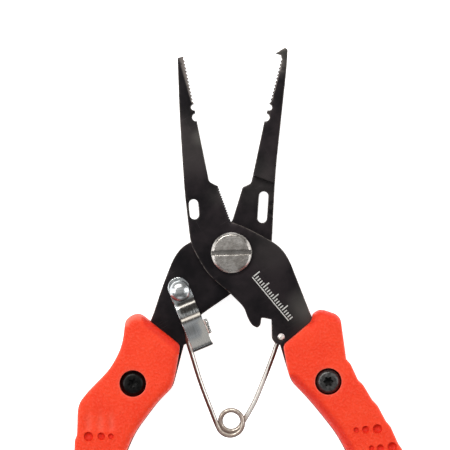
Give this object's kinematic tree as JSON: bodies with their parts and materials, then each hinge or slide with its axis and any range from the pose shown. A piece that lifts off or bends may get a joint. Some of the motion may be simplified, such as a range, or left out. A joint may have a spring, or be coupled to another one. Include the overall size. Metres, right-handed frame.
{
  "type": "fishing pliers",
  "caption": "Open long-nose fishing pliers with a hook tip, crimp notches, side cutters, red plastic grips, a coiled return spring and a swinging lock lever.",
  "frame": {"origin": "centre of the bounding box's base, on the plane of the grips' rear faces, with the pliers fully open", "axes": "+Y from the grips towards the jaw tips, +Z out of the front faces, towards the pivot screw's head, +X to the right seen from the front"},
  "size_m": [0.1242, 0.1798, 0.0146],
  "materials": {
    "jaw_steel": "satin black oxide with bare steel showing on rubbed edges",
    "pivot_stainless": "tumbled stainless",
    "bright_zinc": "bright plated",
    "spring_wire": "polished drawn wire",
    "grip_plastic": "fine moulded texture, satin",
    "black_fastener": "black oxide"
  },
  "bodies": {
    "rear_half": {"rear_jaw_plate": "jaw_steel", "pivot_screw": "pivot_stainless", "pivot_washer": "pivot_stainless", "pivot_nut": "pivot_stainless", "lever_rivet": "bright_zinc", "left_front_grip": "grip_plastic", "left_rear_grip": "grip_plastic", "left_upper_grip_screw": "black_fastener", "left_lower_grip_screw": "black_fastener", "left_upper_grip_nut": "black_fastener", "left_lower_grip_nut": "black_fastener"},
    "front_half": {"front_jaw_plate": "jaw_steel", "right_front_grip": "grip_plastic", "right_rear_grip": "grip_plastic", "right_upper_grip_screw": "black_fastener", "right_lower_grip_screw": "black_fastener", "right_upper_grip_nut": "black_fastener", "right_lower_grip_nut": "black_fastener"},
    "lock_lever": {"lock_lever": "bright_zinc"},
    "spring_left": {"spring_left_arm": "spring_wire"},
    "spring_right": {"spring_right_arm": "spring_wire"}
  },
  "joints": [
    {"name": "jaw_pivot", "type": "hinge", "parent": "rear_half", "child": "front_half", "pos_m": [-0.00194, 0.02013, 0.0073], "axis": [0, 0, -1], "range_deg": [0, 27.6], "stiffness_Nm_per_rad": 0.65, "springref_deg": -9.17},
    {"name": "lever_swing", "type": "hinge", "parent": "rear_half", "child": "lock_lever", "pos_m": [-0.01954, 0.00703, 0.0073], "axis": [0, 0, 1], "range_deg": [0, 20]},
    {"name": "spring_anchor_turn", "type": "hinge", "parent": "rear_half", "child": "spring_left", "pos_m": [-0.01694, -0.00747, 0.0073], "axis": [0, 0, -1], "range_deg": [0, 30.3]},
    {"name": "spring_coil_wind", "type": "hinge", "parent": "spring_left", "child": "spring_right", "pos_m": [-0.00214, -0.03757, 0.0073], "axis": [0, 0, -1], "range_deg": [-26.5, 0]}
  ],
  "couplings": [
    {"joint": "spring_anchor_turn", "follows": "jaw_pivot", "ratio": 1.0918},
    {"joint": "spring_coil_wind", "follows": "jaw_pivot", "ratio": -0.9536}
  ]
}
